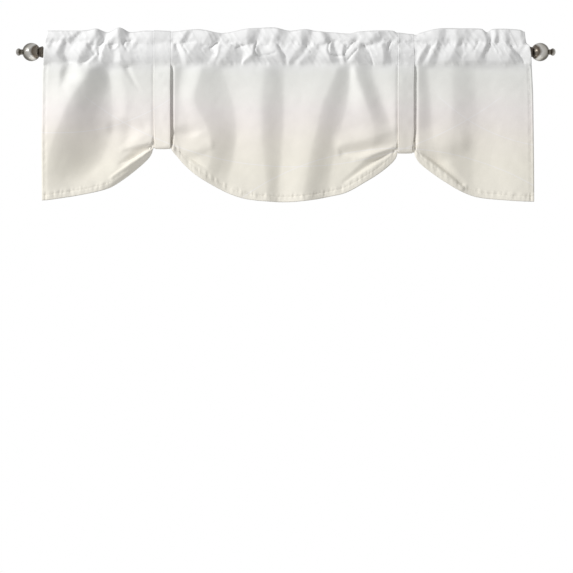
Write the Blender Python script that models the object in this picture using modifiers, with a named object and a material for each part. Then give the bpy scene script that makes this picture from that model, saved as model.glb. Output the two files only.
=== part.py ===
"""A tie-up window valance gathered on a curtain rod with ball finials.

Metres, +Z up, -Y towards the room.  The origin is the middle of the rod, on its axis.
The valance is one sheet of cloth.  From its hem it runs up the front, round the front of the
rod pocket, up the ruffled header, over the header's top fold and down the back to the
stitch line below the rod.  Two flat straps, closed into loops, go over the header and carry
the hem, so the cloth hangs in one whole swag between two half swags.
"""
import math
from collections import namedtuple

import bmesh
import bpy
from mathutils import Vector

MM = 0.001                      # the tables below are in millimetres
WELD = 0.02                     # points closer than this, in mm, are one

# ---------------------------------------------------------------- driving sizes, mm
CLOTH_THICK = 1.6
STRAP_THICK = 1.4
REST_GAP = 0.35                 # left between pieces that touch
STRAP_GAP = 0.6                 # between a strap and the header it goes over
HEM_GAP = 1.5                   # between a strap's lowest point and the hem it carries
ROD_DIAMETER = 25.0
ROD_WALL = 1.0
ROD_HALF_LENGTH = 655.0
ROD_SIDES = 32
SPIGOT_CLEARANCE = 0.45         # round a finial's spigot, inside the rod

SEAM_Z = 22.0                   # stitch line between the header and the rod pocket
STITCH_Z = -34.0                # stitch line below the rod pocket
HEADER_TOP_Z = 58.0             # nominal top fold of the header
BODY_Y = -5.0                   # the plane in which the cloth hangs below the pocket
VALLEY = -3.0                   # how far a header valley lies behind the header's middle
FADE_HEIGHT = 30.0              # the body's folds open out over this height below the pocket

STRAP_FLARE = 1.5               # cloth kept flat this far past a strap's edges
STRAP_DEPTH = 11.0              # half the front-to-back depth of a strap's loop at the hem
STRAP_SHIFT = 2.9               # the loop's middle lies this far behind the hanging cloth's plane
STRAP_STEPS = 6                 # of the half turn under the hem
STRAP_BEND_DROP = 24.0          # a strap's front bends this far below the pocket's stitch line,
STRAP_BEND_OUT = 0.6            # and this far in front of where it leaves the pocket
HEADER_FLAT = 5.5               # the header is kept flat this far past a strap's edges
HEADER_END_X = 660.0            # the header's relief fades to nothing at these ends,
HEADER_END_LEFT_Z = 56.0        # with its top fold at these heights
HEADER_END_RIGHT_Z = 50.0
TUCK_CLEARANCE = 38.0           # tucks rise to their full height this far from a strap
MOUTH_LENGTH = 26.0             # the pocket's ends open slightly, clear of the collars
MOUTH_FLARE = 3.5

# ---------------------------------------------------------------- straps, mm
Strap = namedtuple("Strap", "name x_left x_right bottom_z header_z")
STRAPS = (
    Strap("strap_left", -356.0, -311.5, -262.0, 55.0),
    Strap("strap_right", 303.0, 346.0, -274.0, 50.0),
)

# ---------------------------------------------------------------- outline of the hung cloth, mm
# The side edges, from the top fold down.
SideEdge = namedtuple("SideEdge", "z x_left x_right")
SIDE_EDGES = (
    SideEdge(-404.0, -656.0, 669.5),
    SideEdge(-125.0, -656.5, 667.5),
    SideEdge(-60.0, -656.0, 664.5),
    SideEdge(-20.0, -652.5, 661.5),
    SideEdge(16.0, -651.0, 656.5),
    SideEdge(40.0, -646.0, 646.0),
    SideEdge(56.0, -642.0, 643.0),
)

# The hem between the straps, as the lowest edge of the cloth.
HemPoint = namedtuple("HemPoint", "x z")
HEM_LINE = (
    HemPoint(-656, -401), HemPoint(-610, -396), HemPoint(-529, -382), HemPoint(-475, -367),
    HemPoint(-437, -343), HemPoint(-404, -317), HemPoint(-372, -291), HemPoint(-361, -275),
    HemPoint(-306, -267), HemPoint(-295, -280), HemPoint(-273, -305), HemPoint(-241, -333),
    HemPoint(-190, -364), HemPoint(-149, -384), HemPoint(-106, -397), HemPoint(-41, -404),
    HemPoint(13, -405), HemPoint(67, -400), HemPoint(115, -391), HemPoint(164, -379),
    HemPoint(215, -353), HemPoint(256, -327), HemPoint(288, -301), HemPoint(299, -284),
    HemPoint(350, -288), HemPoint(364, -306), HemPoint(407, -335), HemPoint(434, -353),
    HemPoint(472, -375), HemPoint(515, -391), HemPoint(580, -399), HemPoint(669, -404),
)

# ---------------------------------------------------------------- section of the sheet, mm
# Share of the way from the pocket's stitch line down to the hem, hem first.
BODY_SHARES = (1.0, 0.93, 0.86, 0.78, 0.68, 0.56, 0.42, 0.28, 0.14)

# From the pocket's stitch line up the front, over the top fold and down the back.
# side is -1 on the front layer and +1 on the back one; depth is the distance from the
# rod's vertical plane; gather is the share of the gathers' height taken up there.
Station = namedtuple("Station", "zone z side depth gather")
STATIONS = (
    Station("stitch", STITCH_Z, -1, 5.0, 0.3),
    Station("pocket", -24.0, -1, 9.3, 0.6),
    Station("pocket", -14.0, -1, 12.9, 0.9),
    Station("pocket", -4.0, -1, 14.7, 1.0),
    Station("pocket", 3.5, -1, 13.6, 0.8),
    Station("pocket", 8.8, -1, 10.6, 0.6),
    Station("seam", SEAM_Z, -1, 1.4, 0.5),
    Station("header", 31.0, -1, 4.2, 0.9),
    Station("header", 42.0, -1, 4.8, 1.0),
    Station("header", 52.0, -1, 3.4, 1.0),
    Station("header", HEADER_TOP_Z, -1, 0.0, 1.0),
    Station("header", 52.0, 1, 3.4, 1.0),
    Station("header", 42.0, 1, 4.8, 1.0),
    Station("header", 31.0, 1, 4.2, 0.9),
    Station("seam", SEAM_Z, 1, 1.4, 0.5),
    Station("pocket", 8.8, 1, 11.4, 0.5),
    Station("pocket", 3.5, 1, 13.7, 0.6),
    Station("pocket", -4.0, 1, 14.7, 0.6),
    Station("pocket", -14.0, 1, 11.8, 0.4),
    Station("pocket", -24.0, 1, 5.8, 0.2),
    Station("flap", -38.0, 1, -1.8, 0.3),
)

# Columns of the sheet in the left panel, under a strap, in the middle, and so on; they
# crowd together towards the straps and the side edges.
COLUMN_COUNTS = (17, 3, 36, 3, 18)
CROWDING = 0.25

# ---------------------------------------------------------------- gathers of the header, mm
# Each gather is a ridge, out from the header's middle, with the valley on its right.  The x
# places are given at the top fold and at the pocket's stitch line; peak_z and dip_z are the
# heights of the header's top there.
Gather = namedtuple("Gather", "ridge_top valley_top ridge_low valley_low out peak_z dip_z")
GATHERS = (
    Gather(-604, -577, -618, -585, 3.0, 57, 57),
    Gather(-550, -523, -561, -523, 7.0, 57, 57),
    Gather(-507, -480, -494, -450, 9.0, 62, 54),
    Gather(-450, -421, -431, -394, 9.0, 65, 54),
    Gather(-275, -237, -264, -215, 9.0, 57, 60),
    Gather(-199, -167, -175, -124, 9.0, 56, 51),
    Gather(-97, -64, -80, -37, 8.0, 59, 61),
    Gather(-16, 11, 3, 38, 8.0, 64, 57),
    Gather(46, 73, 52, 98, 9.0, 61, 57),
    Gather(98, 146, 141, 168, 10.0, 55, 50),
    Gather(184, 211, 195, 233, 6.0, 51, 54),
    Gather(244, 276, 260, 284, 6.0, 55, 55),
    Gather(362, 384, 357, 411, 5.0, 52, 56),
    Gather(416, 443, 443, 484, 9.0, 60, 58),
    Gather(487, 519, 492, 524, 4.0, 58, 58),
    Gather(532, 549, 530, 557, 9.0, 58, 52),
    Gather(578, 600, 602, 640, 8.0, 58, 56),
)

# ---------------------------------------------------------------- folds of the body, mm
# Each line is a ridge or a trough that runs down the cloth.  x and out are given at four
# heights: just below the pocket, at a third, at two thirds, and near the hem.
LEVELS = (-38.0, -130.0, -219.0, -329.0)
Fold = namedtuple("Fold", "name x_top x_upper x_lower x_base out_top out_upper out_lower out_base")
FOLDS = (
    Fold("left edge", -657, -657, -657, -657, 2, 9, 18, 22),
    Fold("ridge a", -533, -582, -616, -648, 16, 26, 29, 26),
    Fold("trough a", -478, -470, -478, -532, -11, -15, -15, -8),
    Fold("ridge b", -440, -430, -434, -480, -4, -9, -9, -3),
    Fold("left strap, left edge", -362, -362, -362, -362, -1, -2, -2, -3),
    Fold("left strap, right edge", -305, -305, -305, -305, -1, -1, -1, -2),
    Fold("trough c", -279, -296, -296, -296, -6, -2, -2, -3),
    Fold("ridge e", -222, -226, -216, -230, 10, 12, 10, 7),
    Fold("trough e", -172, -143, -134, -168, -8, -10, -10, -7),
    Fold("ridge f", -58, -64, -64, -52, 5, 7, 9, 8),
    Fold("trough f", -5, -5, -8, -18, -4, -5, -5, -4),
    Fold("ridge g", 136, 103, 80, 44, 6, 13, 16, 13),
    Fold("trough g", 173, 166, 146, 116, -3, -4, -6, -6),
    Fold("ridge h", 187, 213, 236, 215, 4, 9, 11, 6),
    Fold("trough h", 233, 258, 272, 270, -6, -5, -2, -2),
    Fold("right strap, left edge", 297, 297, 297, 297, 0, 0, -1, -2),
    Fold("right strap, right edge", 352, 352, 352, 352, 0, 0, -1, -2),
    Fold("trough s", 380, 380, 392, 420, -5, -6, -6, -5),
    Fold("ridge j", 455, 455, 458, 474, 0, 0, -1, -2),
    Fold("trough j", 510, 508, 510, 522, -7, -9, -8, -5),
    Fold("ridge k", 600, 610, 616, 620, -2, -1, 0, 0),
    Fold("right edge", 668, 668, 668, 668, 1, 2, 3, 4),
)

# Tucks that radiate from the bottom of a strap: soft ridges (out > 0) or hollows (out < 0).
Tuck = namedtuple("Tuck", "name x_start z_start x_end z_end half_start half_end out_start out_end")
TUCKS = (
    Tuck("left leaf hollow", -380, -268, -440, -300, 22, 28, -6, -6),
    Tuck("left bright pleat", -376, -232, -430, -226, 26, 30, 7, 6),
    Tuck("left pinch", -390, -198, -452, -200, 18, 18, -5, -3),
    Tuck("centre nose", -298, -246, -214, -240, 26, 32, 9, 10),
    Tuck("centre hollow over the nose", -296, -200, -240, -206, 20, 22, -5, -4),
    Tuck("centre hollow under the nose", -284, -288, -180, -346, 22, 30, -8, -6),
    Tuck("right pleat mouth", 284, -244, 176, -246, 20, 24, -8, -6),
    Tuck("right pleat lip", 284, -274, 196, -284, 20, 26, 6, 6),
    Tuck("right hem wedge", 262, -316, 182, -350, 20, 26, -7, -6),
    Tuck("right hollow", 390, -262, 496, -280, 26, 36, -8, -5),
    Tuck("right hem roll", 380, -300, 488, -366, 18, 22, 5, 4),
)

# ---------------------------------------------------------------- finial, mm
# A turned shape: its spigot sits in the rod, its collar stands against the rod's end.
Turn = namedtuple("Turn", "along radius")
BALL_CENTRE = ROD_HALF_LENGTH + 31.5
BALL_RADIUS = 24.8
BEAD_CENTRE = BALL_CENTRE + 34.5
BEAD_RADIUS = 10.2
BEAD_STRETCH = 0.75             # the bead is flattened along the rod
SPIGOT_LENGTH = 25.0
FINIAL_STEPS = 28
BALL_STEPS = 11
BEAD_STEPS = 6
FINIAL_COLLAR = (
    Turn(ROD_HALF_LENGTH + REST_GAP, 15.0),
    Turn(ROD_HALF_LENGTH + 1.2, 15.6),
    Turn(ROD_HALF_LENGTH + 3.6, 15.6),
    Turn(ROD_HALF_LENGTH + 5.0, 14.6),
    Turn(ROD_HALF_LENGTH + 7.0, 13.1),
)
NECK_RADIUS = 7.2

COLOURS = {
    "cloth": ((0.93, 0.92, 0.89, 1.0), 0.55, 0.0),
    "strap": ((0.91, 0.90, 0.87, 1.0), 0.55, 0.0),
    "metal": ((0.36, 0.33, 0.28, 1.0), 0.35, 1.0),
}


# ---------------------------------------------------------------- curves and blends
def mix(a, b, t):
    return a + (b - a) * t


def clamp(value, low, high):
    return max(low, min(high, value))


def ease(t):
    """Rise smoothly from 0 at t = 0 to 1 at t = 1."""
    return 0.5 - 0.5 * math.cos(math.pi * clamp(t, 0.0, 1.0))


def smooth_curve(places, values, place):
    """A smooth curve through the values, level beyond its first and last place."""
    if place <= places[0]:
        return values[0]
    if place >= places[-1]:
        return values[-1]
    i = max(k for k in range(len(places) - 1) if places[k] <= place)
    span = places[i + 1] - places[i]
    t = (place - places[i]) / span

    def slope(k):
        if k == 0 or k == len(places) - 1:
            return 0.0
        return (values[k + 1] - values[k - 1]) / (places[k + 1] - places[k - 1])

    a, b = values[i], values[i + 1]
    rise_a, rise_b = slope(i) * span, slope(i + 1) * span
    bend = (2 * a - 2 * b + rise_a + rise_b) * t ** 3
    bow = (-3 * a + 3 * b - 2 * rise_a - rise_b) * t ** 2
    return bend + bow + rise_a * t + a


def eased_between(stops, x):
    """The value at x between stops (x, value), with a level top or bottom at each stop."""
    if x <= stops[0][0]:
        return stops[0][1]
    for (x0, v0), (x1, v1) in zip(stops, stops[1:]):
        if x <= x1:
            return mix(v0, v1, ease((x - x0) / max(x1 - x0, 1e-6)))
    return stops[-1][1]


def closeness(x, reach):
    """1 at a strap, falling to 0 at the reach from its edge."""
    distance = min(max(s.x_left - x, x - s.x_right, 0.0) for s in STRAPS)
    return 1.0 - ease((distance - STRAP_FLARE) / reach)


# ---------------------------------------------------------------- the cloth's outline
def side_x(z):
    rows = sorted(SIDE_EDGES)
    heights = [row.z for row in rows]
    left = smooth_curve(heights, [row.x_left for row in rows], z)
    right = smooth_curve(heights, [row.x_right for row in rows], z)
    return left, right


def hem_rest_z(strap):
    """Where the hem lies in its strap's loop."""
    return strap.bottom_z + STRAP_THICK + HEM_GAP


def hem_z(x):
    points = list(HEM_LINE)
    for strap in STRAPS:
        left, right = strap.x_left - STRAP_FLARE, strap.x_right + STRAP_FLARE
        if left <= x <= right:
            return hem_rest_z(strap)
        points += [HemPoint(left, hem_rest_z(strap)), HemPoint(right, hem_rest_z(strap))]
    points.sort()
    return smooth_curve([point.x for point in points], [point.z for point in points], x)


# ---------------------------------------------------------------- the cloth's relief
def gather_stops(height):
    """Ridges and valleys across the header at a height from 0, its stitch, to 1, its top."""
    stops = [(-HEADER_END_X, 0.0, HEADER_END_LEFT_Z), (HEADER_END_X, 0.0, HEADER_END_RIGHT_Z)]
    for strap in STRAPS:
        stops.append((strap.x_left - HEADER_FLAT, VALLEY, strap.header_z))
        stops.append((strap.x_right + HEADER_FLAT, VALLEY, strap.header_z))
    for row in GATHERS:
        stops.append((mix(row.ridge_low, row.ridge_top, height), row.out, row.peak_z))
        stops.append((mix(row.valley_low, row.valley_top, height), VALLEY, row.dip_z))
    return sorted(stops)


def gather_out(x, z):
    height = clamp((z - STITCH_Z) / (HEADER_TOP_Z - STITCH_Z), 0.0, 1.0)
    return eased_between([(sx, out) for sx, out, _ in gather_stops(height)], x)


def header_top(x):
    return eased_between([(sx, top) for sx, _, top in gather_stops(1.0)], x)


def fold_out(x, z):
    heights = [-level for level in LEVELS]
    stops = []
    for row in FOLDS:
        places = (row.x_top, row.x_upper, row.x_lower, row.x_base)
        outs = (row.out_top, row.out_upper, row.out_lower, row.out_base)
        stops.append((smooth_curve(heights, places, -z), smooth_curve(heights, outs, -z)))
    return eased_between(stops, x)


def tuck_out(x, z):
    total = 0.0
    for tuck in TUCKS:
        run_x, run_z = tuck.x_end - tuck.x_start, tuck.z_end - tuck.z_start
        along = (x - tuck.x_start) * run_x + (z - tuck.z_start) * run_z
        t = clamp(along / (run_x ** 2 + run_z ** 2), 0.0, 1.0)
        miss = math.hypot(x - tuck.x_start - t * run_x, z - tuck.z_start - t * run_z)
        half = mix(tuck.half_start, tuck.half_end, t)
        total += mix(tuck.out_start, tuck.out_end, t) * (1.0 - ease(miss / (2.0 * half)))
    clear_of_straps = 1.0 - closeness(x, TUCK_CLEARANCE)
    return total * clear_of_straps


# ---------------------------------------------------------------- the sheet's points
def column_places(left, right):
    """Where the sheet's columns stand at one height, with lines along the straps' edges."""
    breaks = [left]
    for strap in STRAPS:
        breaks += [strap.x_left - STRAP_FLARE, strap.x_right + STRAP_FLARE]
    breaks.append(right)
    places = [left]
    for start, end, count in zip(breaks, breaks[1:], COLUMN_COUNTS):
        for k in range(1, count + 1):
            t = k / count
            places.append(mix(start, end, t - CROWDING * math.sin(2 * math.pi * t) / (2 * math.pi)))
    return places


def body_point(column, share):
    rough_x = column_places(*side_x(STITCH_Z))[column]
    z = mix(STITCH_Z, hem_z(rough_x), share)
    x = column_places(*side_x(z))[column]
    z = mix(STITCH_Z, hem_z(x), share)
    opening = mix(STATIONS[0].gather, 1.0, ease((STITCH_Z - z) / FADE_HEIGHT))
    out = fold_out(x, z) * opening + tuck_out(x, z)
    return Vector((x, BODY_Y - out, z))


def mouth_flare(x, left, right):
    distance = min(x - left, right - x)
    return MOUTH_FLARE * (1.0 - ease(distance / MOUTH_LENGTH))


def loop_point(column, station):
    z = station.z
    left, right = side_x(z)
    x = column_places(left, right)[column]
    out = gather_out(x, z)
    if station.zone == "header":
        stretch = (header_top(x) - SEAM_Z) / (HEADER_TOP_Z - SEAM_Z)
        z = SEAM_Z + (z - SEAM_Z) * stretch
    if station.zone == "pocket":
        depth = station.depth + (out - VALLEY) * station.gather + mouth_flare(x, left, right)
        return Vector((x, station.side * depth, z))
    if station.zone in ("stitch", "flap"):
        return Vector((x, station.side * station.depth - fold_out(x, z) * station.gather, z))
    return Vector((x, station.side * station.depth - out * station.gather, z))


def section(column):
    """The sheet's points in one column, from the hem to the end of the back flap."""
    points = [body_point(column, share) for share in BODY_SHARES]
    points += [loop_point(column, station) for station in STATIONS]
    return points


# ---------------------------------------------------------------- objects and materials
def clear_scene():
    for item in list(bpy.data.objects):
        bpy.data.objects.remove(item, do_unlink=True)


def make_material(name):
    colour, roughness, metallic = COLOURS[name]
    material = bpy.data.materials.new(name)
    material.use_nodes = True
    shader = material.node_tree.nodes["Principled BSDF"]
    shader.inputs["Base Color"].default_value = colour
    shader.inputs["Roughness"].default_value = roughness
    shader.inputs["Metallic"].default_value = metallic
    return material


def add_object(name, mesh, collection, material):
    mesh.materials.clear()
    mesh.materials.append(material)
    item = bpy.data.objects.new(name, mesh)
    collection.objects.link(item)
    return item


def solidify(item, thickness):
    shell = item.modifiers.new("thickness", "SOLIDIFY")
    shell.thickness = thickness * MM
    shell.offset = 0.0


def sheet_mesh(name, columns, closed):
    """A grid mesh whose columns are lists of points; a closed one joins its last row to its first."""
    rows = len(columns[0])
    bm = bmesh.new()
    bmesh.ops.create_grid(bm, x_segments=rows - 1, y_segments=len(columns) - 1, size=1.0)
    bm.verts.ensure_lookup_table()
    for c, column in enumerate(columns):
        for r, point in enumerate(column):
            bm.verts[c * rows + r].co = point * MM
    if closed:
        bmesh.ops.remove_doubles(bm, verts=bm.verts, dist=WELD * MM)
    bmesh.ops.recalc_face_normals(bm, faces=bm.faces)
    mesh = bpy.data.meshes.new(name)
    bm.to_mesh(mesh)
    bm.free()
    mesh.shade_smooth()
    return mesh


def make_valance(collection, material):
    count = len(column_places(*side_x(0.0)))
    mesh = sheet_mesh("valance", [section(column) for column in range(count)], closed=False)
    solidify(add_object("valance", mesh, collection, material), CLOTH_THICK)


# ---------------------------------------------------------------- straps
def offset_outwards(points, distance):
    """Move an open run of points to its left, as seen along the run, in the YZ plane."""
    moved = []
    for i, point in enumerate(points):
        before = points[max(i - 1, 0)]
        after = points[min(i + 1, len(points) - 1)]
        run = (after - before).normalized()
        normal = Vector((0.0, -run.z, run.y))
        first, second = point - before, after - point
        turn = first.angle(second) if first.length and second.length else 0.0
        moved.append(point + normal * distance / math.cos(turn / 2.0))
    return moved


def outermost(columns, station):
    """The point of these columns that stands farthest out at a station."""
    points = [loop_point(column, station) for column in columns]
    return max(points, key=lambda point: station.side * point.y)


def strap_path(strap):
    """The loop of a strap in the YZ plane: up the front, over the header, down the back, under."""
    panel = 2 * STRAPS.index(strap) + 1
    first = sum(COLUMN_COUNTS[:panel])
    columns = range(first, first + COLUMN_COUNTS[panel] + 1)
    lift = CLOTH_THICK / 2 + STRAP_GAP + STRAP_THICK / 2
    loop = [outermost(columns, station) for station in STATIONS]
    header = offset_outwards(loop[:-2], lift)
    middle_y = BODY_Y + STRAP_SHIFT
    turn_z = strap.bottom_z + STRAP_THICK / 2 + STRAP_DEPTH
    under = []
    for step in range(STRAP_STEPS + 1):
        angle = math.pi * step / STRAP_STEPS
        y = middle_y + STRAP_DEPTH * math.cos(angle)
        under.append(Vector((0.0, y, turn_z - STRAP_DEPTH * math.sin(angle))))
    front_low = Vector((0.0, header[0].y - STRAP_BEND_OUT, STITCH_Z - STRAP_BEND_DROP))
    return header + under + [front_low]


def make_strap(strap, collection, material):
    path = strap_path(strap)
    path.append(path[0])
    columns = []
    for share in (0.0, 1.0):
        x = mix(strap.x_left, strap.x_right, share)
        columns.append([Vector((x, p.y, p.z)) for p in path])
    mesh = sheet_mesh(strap.name, columns, closed=True)
    solidify(add_object(strap.name, mesh, collection, material), STRAP_THICK)


# ---------------------------------------------------------------- rod and finials
def make_rod(collection, material):
    """An open tube along X."""
    bm = bmesh.new()
    middle_radius = (ROD_DIAMETER - ROD_WALL) / 2 * MM
    bmesh.ops.create_cone(bm, cap_ends=False, segments=ROD_SIDES, radius1=middle_radius,
                          radius2=middle_radius, depth=2 * ROD_HALF_LENGTH * MM)
    mesh = bpy.data.meshes.new("rod")
    bm.to_mesh(mesh)
    bm.free()
    mesh.shade_smooth()
    rod = add_object("rod", mesh, collection, material)
    rod.rotation_euler = (0.0, math.pi / 2, 0.0)
    solidify(rod, ROD_WALL)


def arc(centre, radius, stretch, angle_from, angle_to, count):
    """Points of a ball's outline; angles are measured from the outward end of the rod's axis."""
    turns = []
    for k in range(count + 1):
        angle = math.radians(mix(angle_from, angle_to, k / count))
        turns.append(Turn(centre + stretch * radius * math.cos(angle), radius * math.sin(angle)))
    return turns


def finial_profile():
    """From the bead's tip inwards along the outside, then round the spigot to its end."""
    neck_angle = math.degrees(math.asin(NECK_RADIUS / BALL_RADIUS))
    collar_angle = 180.0 - math.degrees(math.asin(FINIAL_COLLAR[-1].radius / BALL_RADIUS))
    bead_angle = 180.0 - math.degrees(math.asin(NECK_RADIUS / BEAD_RADIUS))
    turns = arc(BEAD_CENTRE, BEAD_RADIUS, BEAD_STRETCH, 0.0, bead_angle, BEAD_STEPS)
    turns += arc(BALL_CENTRE, BALL_RADIUS, 1.0, neck_angle, collar_angle, BALL_STEPS)
    turns += list(reversed(FINIAL_COLLAR[:-1]))
    spigot_radius = ROD_DIAMETER / 2 - ROD_WALL - SPIGOT_CLEARANCE
    turns.append(Turn(ROD_HALF_LENGTH + REST_GAP, spigot_radius))
    turns.append(Turn(ROD_HALF_LENGTH - SPIGOT_LENGTH, spigot_radius))
    turns.append(Turn(ROD_HALF_LENGTH - SPIGOT_LENGTH, 0.0))
    return turns


def finial_mesh():
    bm = bmesh.new()
    verts = [bm.verts.new((turn.radius * MM, 0.0, turn.along * MM)) for turn in finial_profile()]
    for a, b in zip(verts, verts[1:]):
        bm.edges.new((a, b))
    mesh = bpy.data.meshes.new("finial")
    bm.to_mesh(mesh)
    bm.free()
    return mesh


def make_finials(collection, material):
    mesh = finial_mesh()
    for name, turn in (("finial_left", -math.pi / 2), ("finial_right", math.pi / 2)):
        item = add_object(name, mesh, collection, material)
        item.rotation_euler = (0.0, turn, 0.0)
        screw = item.modifiers.new("turned", "SCREW")
        screw.steps = FINIAL_STEPS
        screw.render_steps = FINIAL_STEPS
        screw.use_merge_vertices = True
        screw.merge_threshold = WELD * MM
        screw.use_smooth_shade = True


def main():
    clear_scene()
    collection = bpy.data.collections.new("tie_up_valance")
    bpy.context.scene.collection.children.link(collection)
    materials = {name: make_material(name) for name in COLOURS}
    make_valance(collection, materials["cloth"])
    for strap in STRAPS:
        make_strap(strap, collection, materials["strap"])
    make_rod(collection, materials["metal"])
    make_finials(collection, materials["metal"])


main()
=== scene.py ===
import math
from collections import namedtuple

import bpy
import numpy as np
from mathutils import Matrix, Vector


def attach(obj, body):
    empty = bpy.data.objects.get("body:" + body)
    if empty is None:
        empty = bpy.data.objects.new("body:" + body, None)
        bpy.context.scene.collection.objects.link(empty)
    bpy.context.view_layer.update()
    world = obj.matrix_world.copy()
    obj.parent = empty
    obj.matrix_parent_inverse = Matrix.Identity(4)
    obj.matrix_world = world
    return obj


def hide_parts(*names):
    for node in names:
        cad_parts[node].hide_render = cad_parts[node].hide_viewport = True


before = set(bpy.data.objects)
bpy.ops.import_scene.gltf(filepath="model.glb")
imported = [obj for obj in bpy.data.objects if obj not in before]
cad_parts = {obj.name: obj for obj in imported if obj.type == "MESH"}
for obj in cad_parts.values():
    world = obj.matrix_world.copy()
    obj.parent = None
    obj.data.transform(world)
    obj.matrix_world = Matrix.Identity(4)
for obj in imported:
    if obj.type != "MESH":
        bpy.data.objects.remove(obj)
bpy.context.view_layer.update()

MM = 0.001
TINY = 1e-6  # keeps a divisor from being 0

# ---- the hung cloth, mm
SEAM_Z = 22.0  # the header's stitch line, over the rod
STITCH_Z = -34.0  # the pocket's stitch line, under the rod
HEADER_TOP_Z = 58.0
BODY_Y = -5.0
ROD_RADIUS = 12.5
ROD_CLEARANCE = 1.4
CLOTH_THICK = 0.8

# ---- the straps, mm
# lift is how far a strap's right edge stands off the cloth under it. Towards the bottom its
# two edges draw in, and a groove of the given depth runs in the cloth beside its right edge.
Strap = namedtuple("Strap", "name x_left x_right bottom_z lift draw_left draw_right groove")
STRAPS = (
    Strap("strap_left", -356.0, -311.5, -262.0, 4.4, 3.5, 0.0, 9.0),
    Strap("strap_right", 303.0, 346.0, -274.0, 2.4, 0.0, 5.0, 7.5),
)
STRAP_THICK = 1.2
STRAP_FLARE = 1.5  # the cloth's columns beside a strap, out from its edges
STRAP_DRAW_HEIGHT = 60.0
STRAP_BACK_Y = 9.0  # the back of a strap's loop, at the hem
STRAP_TURN = 9.0  # the height of a strap's turn under the hem
STRAP_REST = 1.3  # a strap's lift at its left edge
STRAP_REST_HEAD = 0.5  # and over the heading
STRAP_LIFT_REACH = 24.0  # the lift grows to its own over this height under the heading
STRAP_PARTS_Z = -24.0  # behind, a strap leaves the cloth at this height
STRAP_SEAM = 3.6  # a strap's stitch lines, in from its edges
STRAP_SEAM_DEPTH = 0.3
STRAP_SEAM_WIDTH = 0.8
STRAP_ROLL = 0.7  # how far a strap's edges roll back
STRAP_ROLL_WIDTH = 1.6
STRAP_COLUMNS = 46
STRAP_BODY_STEPS = 60
STRAP_BACK_STEPS = 24
STRAP_TURN_STEPS = 16
GROOVE_SHIFT = 3.6  # the middle of a groove, out from the strap's right edge
GROOVE_WIDTH = 2.6
GROOVE_TOP = -33.0
GROOVE_FADE = 10.0
GROOVE_END = 4.0  # a groove's end, over the strap's lowest point
HEM_REST = 2.9  # the hem's height over a strap's lowest point
# The creases fade this near to a strap, and the cloth dips under it over the reach.
STRAP_CLEARANCE = 6.0
STRAP_DIP = 1.6
STRAP_DIP_REACH = 5.0

# ---- outline, mm
SIDE_EDGES = (  # z, and the x of the left and the right edge there
    (-404, -656, 669.5), (-125, -656.5, 667.5), (-60, -656, 664.5), (-20, -652.5, 661.5),
    (16, -651, 656.5), (28, -648, 648), (56, -643, 645),
)
HEM_LINE = (  # x and z
    (-656, -401), (-610, -396), (-529, -382), (-475, -367), (-437, -343), (-404, -317),
    (-372, -288), (-361, -271), (-306, -267), (-295, -280), (-273, -305), (-241, -333),
    (-190, -364), (-149, -384), (-106, -397), (-41, -404), (13, -405), (67, -400), (115, -391),
    (164, -379), (215, -351), (256, -325), (288, -298), (299, -282), (350, -282), (362, -300),
    (404, -333), (434, -353), (472, -375), (515, -391), (580, -399), (669, -404),
)
TOP_EDGE = (  # x and z
    (-645, 57), (-563, 57), (-529, 59), (-510, 62), (-483, 53), (-469, 56), (-448, 65),
    (-421, 54), (-380, 57), (-300, 55), (-237, 61), (-172, 51), (-105, 62), (-64, 65), (-29, 65),
    (11, 57), (57, 61), (82, 56), (133, 52), (173, 49), (195, 54), (249, 57), (289, 57),
    (300, 52), (352, 46), (362, 51), (416, 63), (470, 63), (527, 62), (543, 53), (557, 61),
    (592, 62), (632, 59), (643, 54),
)

# ---- the sheet's rows and columns
# Columns of the panels between the straps' edges. Plain rows take every second one.
COLUMN_COUNTS = (132, 18, 270, 18, 132)
CROWDING = 0.12
# The hem is turned up behind: its rows are heights above the hem's fold.
HEM_BACK_ROWS = (17, 9, 2.5)
HEM_FRONT_ROWS = (0, 2, 4.5, 7.5, 10.5, 12.5, 14.5, 16.5, 19, 22)
HEM_STITCH = 14.5  # the hem's stitch line, above its fold
HEM_LAYER = 1.0  # how far the turned-up layer lies behind the front
HEM_TALLEST = 1.6  # the hem's band on a steep slope, times its width
HEM_SLOPE_SPAN = 4.0  # the slope is taken this far to both sides
BODY_ROWS = 66
BODY_ROW_CROWDING = 0.35  # the rows of the body crowd towards the hem
POCKET_ROWS = 17
HEADER_ROWS = 10
BACK_ROWS = 9
FIRST_Z = -300.0  # a body row's columns are first placed for this height
PLACINGS = 2  # and then for its own height, this often

# y of the cloth at out = 0, in front of the rod's axis, and the share of its folds' relief
Profile = namedtuple("Profile", "z depth share")
POCKET_FRONT = [Profile(*row) for row in (
    (STITCH_Z, 9.5, 0.7), (-24, 12.6, 0.8), (-14, 15.2, 0.85), (-4, 16.2, 0.88), (4, 15.6, 0.88),
    (12, 13.2, 0.92), (18, 11.2, 0.92), (SEAM_Z, 10.3, 0.9),
)]
HEADER_HALF = [Profile(*row) for row in (
    (SEAM_Z, 1.3, 0.9), (28, 2.4, 0.9), (38, 4.8, 1), (48, 4.2, 1), (55, 2.4, 1),
    (HEADER_TOP_Z, 0, 1),
)]
POCKET_BACK = [Profile(*row) for row in (
    (-38, -1.8, 0.3), (-24, 6.5, 0.3), (-14, 13, 0.4), (-4, 16.4, 0.6), (4, 15.6, 0.6),
    (12, 10, 0.5), (SEAM_Z, -7.7, 0.9),
)]
SEAM_FORWARD = 9.0  # the header's two layers stand this far forward at the seam
TOP_FORWARD = 2.5  # and at its top
BODY_TOP_FORWARD = 4.5  # and the body at the pocket's stitch line
BODY_TOP_REACH = 74.0
BODY_OPENING = 16.0  # the folds reach their full depth this far under the stitch line
PATTERN_BLEND = (-24.0, -44.0)  # the pocket's folds pass into the body's between these heights
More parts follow.
